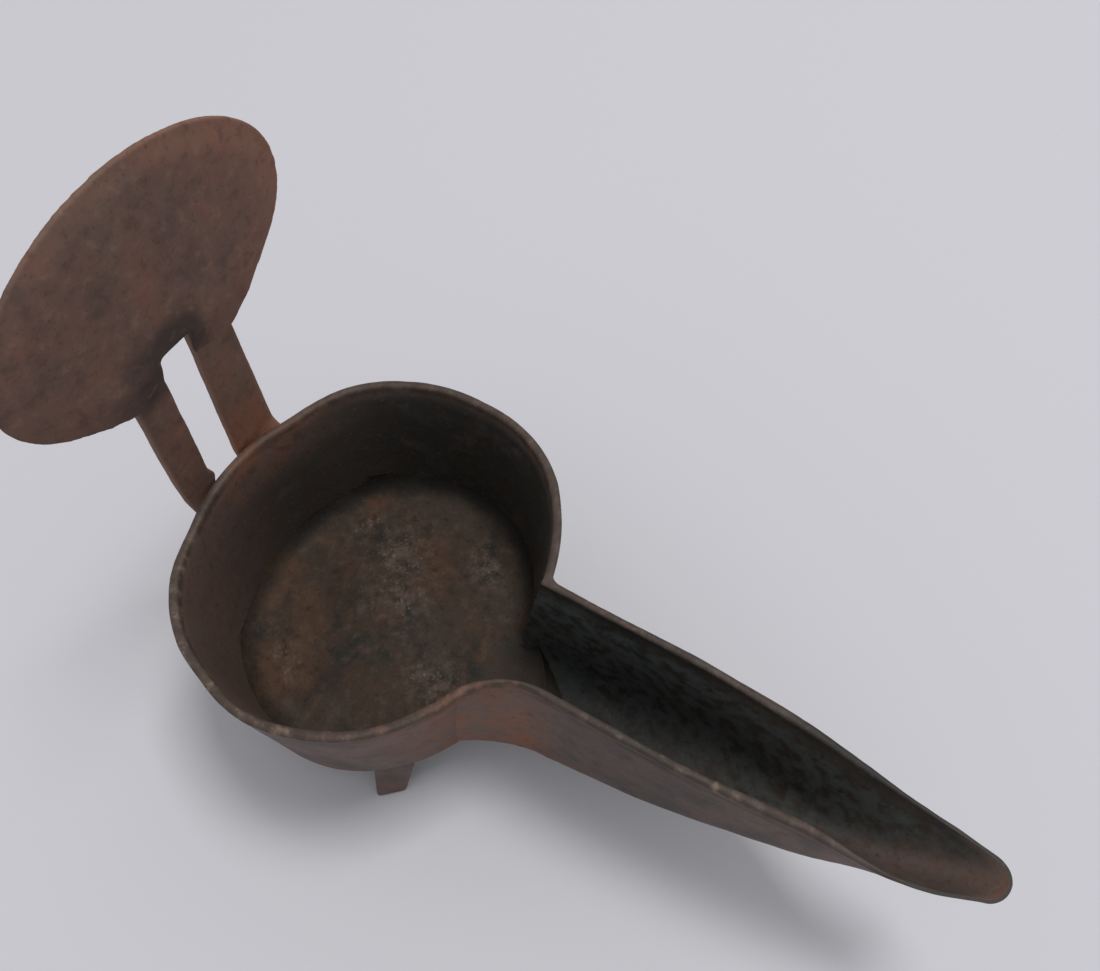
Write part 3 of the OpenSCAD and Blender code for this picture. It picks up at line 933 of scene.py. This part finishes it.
disc = {
    "width": 56.4, "height": 38.1, "sheet": 1.6, "up": 48.2, "tilt": 0.05,
    "steps": 180, "voxel": 0.32, "passes": 6,
    "corners": ((3.2, 11, 6), (2.3, -10.2, 6)),  # how far the lower edge runs down, where, and how wide
    "notchLeft": 2.6, "notchRight": -4.1, "notchTop": 34.9, "notchRound": 0.6, "notchSteps": 4,
    "scarf": 0.7, "scarfUp": (6, 0.5), "scarfX": (18, 13), "edgeThin": 0.4, "edgeFrom": (0.8, 1.0),
    "hammer": 0.12, "dent": 0.04,
    "burnt": (7.8, 2.5), "burntRight": 0.75, "burntLeft": 1.6, "burntRagged": 1.8, "burntSize": 4,
    "wornUp": (40, 60), "rustFrom": (0.55, 0.95), "rustX": (-6, 20),
}


def discCorner(y):  # the lower edge runs down onto the straps on both sides
    return sum(deep * bell(y, at, wide) for deep, at, wide in disc["corners"])


def discBottom(y):  # height of the disc's lower edge above the rim
    share = min(1.0, abs(y) * 2 / disc["width"])
    edge = disc["up"] - disc["height"] / 2 * math.sqrt(1 - share ** 2)
    return edge + disc["tilt"] * y - discCorner(y)


def edgeShare(p):  # 0 in the middle of the disc, 1 at its edge
    return math.hypot(p.x / disc["width"], (p.y - disc["up"]) / disc["height"]) * 2


def discBlank(bm):  # the notched oval, drawn flat, with x to the lamp's left and y up from the rim
    left, right, top = disc["notchLeft"], disc["notchRight"], disc["notchTop"]
    bmesh.ops.create_circle(bm, cap_ends=True, segments=disc["steps"], radius=1)
    bmesh.ops.scale(bm, vec=(disc["width"] / 2, disc["height"] / 2, 1), verts=bm.verts)
    bmesh.ops.rotate(bm, verts=bm.verts, cent=(0, 0, 0), matrix=Matrix.Rotation(disc["tilt"], 3, "Z"))
    bmesh.ops.translate(bm, vec=(0, disc["up"], 0), verts=bm.verts)
    for v in bm.verts:
        if v.co.y < disc["up"]:
            v.co.y -= discCorner(v.co.x)
    for x in (right, left):
        whole = bm.verts[:] + bm.edges[:] + bm.faces[:]
        bmesh.ops.bisect_plane(bm, geom=whole, plane_co=(x, 0, 0), plane_no=(1, 0, 0))
    strip = [f for f in bm.faces if right < f.calc_center_median().x < left]
    parts = strip + list({e for f in strip for e in f.edges}) + list({v for f in strip for v in f.verts})
    bmesh.ops.bisect_plane(bm, geom=parts, plane_co=(0, top, 0), plane_no=(0, 1, 0))
    strip = [f for f in bm.faces if right < f.calc_center_median().x < left]
    cut = [f for f in strip if f.calc_center_median().y < top]
    bmesh.ops.delete(bm, geom=cut, context="FACES")
    bmesh.ops.dissolve_faces(bm, faces=bm.faces)
    corners = [
        v for v in bm.verts
        if abs(v.co.y - top) < 0.01 and min(abs(v.co.x - right), abs(v.co.x - left)) < 0.01
    ]
    bmesh.ops.bevel(
        bm, geom=corners, offset=disc["notchRound"], segments=disc["notchSteps"],
        affect="VERTICES", profile=0.5, material=-1,
    )
    raised = bmesh.ops.extrude_face_region(bm, geom=bm.faces[:])["geom"]
    upper = [g for g in raised if isinstance(g, bmesh.types.BMVert)]
    bmesh.ops.translate(bm, vec=(0, 0, disc["sheet"]), verts=upper)


def makeDisc():
    blank = bmesh.new()
    discBlank(blank)
    bm = remeshed(blank, disc["voxel"], disc["passes"])
    flat = [v.co.copy() for v in bm.verts]
    lean = Matrix.Rotation(math.radians(handle["lean"]), 4, "Y")
    stand = Matrix.Translation((handle["frontX"], 0, rimZ)) @ lean
    for v, p in zip(bm.verts, flat):  # thin all round, and thinner where it is welded to the straps
        welded = smooth(*disc["scarfUp"], p.y - discBottom(p.x)) * smooth(*disc["scarfX"], abs(p.x))
        thin = max(disc["scarf"] * welded, disc["edgeThin"] * smooth(*disc["edgeFrom"], edgeShare(p)))
        v.co = stand @ Vector((handle["gap"] + p.z * (1 - thin), p.x, p.y))
    weather(bm, hammer=disc["hammer"], dent=disc["dent"], seed=21.0)
    bm.verts.index_update()

    def soot(v):  # round the notch, further out on its right
        p = flat[v.index]
        onRight = (disc["notchRight"] - p.x) * disc["burntRight"]
        onLeft = (p.x - disc["notchLeft"]) * disc["burntLeft"]
        away = math.hypot(max(onRight, onLeft, 0.0), max(0.0, p.y - disc["notchTop"]))
        ragged = disc["burntRagged"] * lump(p, disc["burntSize"], 2.2)
        return 0.9 * smooth(*disc["burnt"], away + ragged)

    def worn(v):
        p = flat[v.index]
        return 0.3 * smooth(*disc["edgeFrom"], edgeShare(p)) * smooth(*disc["wornUp"], p.y + p.x)

    def rust(v):
        p = flat[v.index]
        return 0.6 * smooth(*disc["rustFrom"], edgeShare(p)) * smooth(*disc["rustX"], p.x)

    mark(bm, soot=soot, worn=worn, rust=rust)
    makePiece("handleDisc", bm, brownRust, "handle_disc")


makeDisc()


# feet: three flat tabs under the edge of the pan, spreading outwards to the table

foot = {
    "width": 7.6, "sheet": 3.0, "angle": 51, "round": 0.7, "voxel": 0.34, "hammer": 0.12, "highest": 0.3,
    "spread": 1.4, "taper": 0.25, "sway": 2.2,
}


def makeFoot(name, node, angle, sway):
    bm = bmesh.new()
    bmesh.ops.create_cube(bm, size=1)
    bmesh.ops.scale(bm, vec=(foot["sheet"], foot["width"], baseZ), verts=bm.verts)
    roundEdges(bm, bm.edges, foot["round"])
    bm = remeshed(bm, foot["voxel"])
    baseY = panWall["rimY"] - panWall["lean"]
    baseX = baseY * panWall["rimX"] / panWall["rimY"]
    a = math.radians(angle)
    outwards = Matrix.Rotation(math.atan2(math.sin(a) / baseY, math.cos(a) / baseX), 4, "Z")
    spot = Matrix.Translation((baseX * math.cos(a), baseY * math.sin(a), 0)) @ outwards
    for v in bm.verts:
        z = v.co.z + baseZ / 2
        down = 1 - z / baseZ  # narrower and further back towards the table
        across = v.co.y * (1 - foot["taper"] * down) + sway * down
        v.co = spot @ Vector((v.co.x - foot["sheet"] / 2 + foot["spread"] * down, across, z))
    weather(bm, hammer=foot["hammer"], seed=31 + angle)
    for v in bm.verts:  # the foot stands flat
        v.co.z = min(max(v.co.z, 0), baseZ + foot["highest"])
    makePiece(name, bm, sootyIron, node)


makeFoot("frontLeftFoot", "front_left_foot", foot["angle"], foot["sway"])
makeFoot("frontRightFoot", "front_right_foot", -foot["angle"], -foot["sway"])
makeFoot("rearFoot", "rear_foot", 180, 0)


# floor and light

studio = {
    "floor": "#c4c4c8", "floorSize": 6.0, "floorRough": 0.9, "floorGloss": 0.1,
    "sky": "#fbfbff", "skyStrength": 0.62, "backdrop": "#d2d2d6",
    "keyFrom": (0.2, 0.32, 1.65), "keySize": 0.5, "keyPower": 14.5,
}


def makeFloor():
    bm = bmesh.new()
    bmesh.ops.create_grid(bm, x_segments=1, y_segments=1, size=studio["floorSize"] / 2)
    mesh = bpy.data.meshes.new("floor")
    bm.to_mesh(mesh)
    bm.free()
    paper = bpy.data.materials.new("pale floor")  # an even, matt, light grey ground
    paper.use_nodes = True
    shader = paper.node_tree.nodes["Principled BSDF"]
    shader.inputs["Base Color"].default_value = toLinear(studio["floor"])
    shader.inputs["Roughness"].default_value = studio["floorRough"]
    shader.inputs["Specular IOR Level"].default_value = studio["floorGloss"]
    mesh.materials.append(paper)
    floor = bpy.data.objects.new("floor", mesh)
    bpy.context.scene.collection.objects.link(floor)


def makeSky():  # one brightness for the light, another for what the camera and reflections see
    world = bpy.data.worlds.new("studio")
    world.use_nodes = True
    tree = world.node_tree
    tree.nodes.clear()
    light = addNode(
        tree, "ShaderNodeBackground", {"Color": toLinear(studio["sky"]), "Strength": studio["skyStrength"]},
    )
    seen = addNode(tree, "ShaderNodeBackground", {"Color": toLinear(studio["backdrop"]), "Strength": 1.0})
    rays = addNode(tree, "ShaderNodeLightPath").outputs
    mirrored = addNode(
        tree, "ShaderNodeMath", {"operation": "MAXIMUM"},
        {0: rays["Is Glossy Ray"], 1: rays["Is Transmission Ray"]},
    ).outputs["Value"]
    shown = addNode(
        tree, "ShaderNodeMath", {"operation": "MAXIMUM"}, {0: rays["Is Camera Ray"], 1: mirrored},
    ).outputs["Value"]
    mixed = addNode(
        tree, "ShaderNodeMixShader", None,
        {0: shown, 1: light.outputs["Background"], 2: seen.outputs["Background"]},
    )
    addNode(tree, "ShaderNodeOutputWorld", None, {"Surface": mixed.outputs["Shader"]})
    bpy.context.scene.world = world


def makeKey():
    key = bpy.data.objects.new("window", bpy.data.lights.new("window", "AREA"))
    key.data.size = studio["keySize"]
    key.data.energy = studio["keyPower"]
    key.location = studio["keyFrom"]
    key.rotation_mode = "QUATERNION"
    key.rotation_quaternion = (-Vector(studio["keyFrom"])).to_track_quat("-Z", "Y")
    bpy.context.scene.collection.objects.link(key)


makeFloor()
makeSky()
makeKey()
bpy.context.scene.view_settings.view_transform = "Standard"
print("studio set")
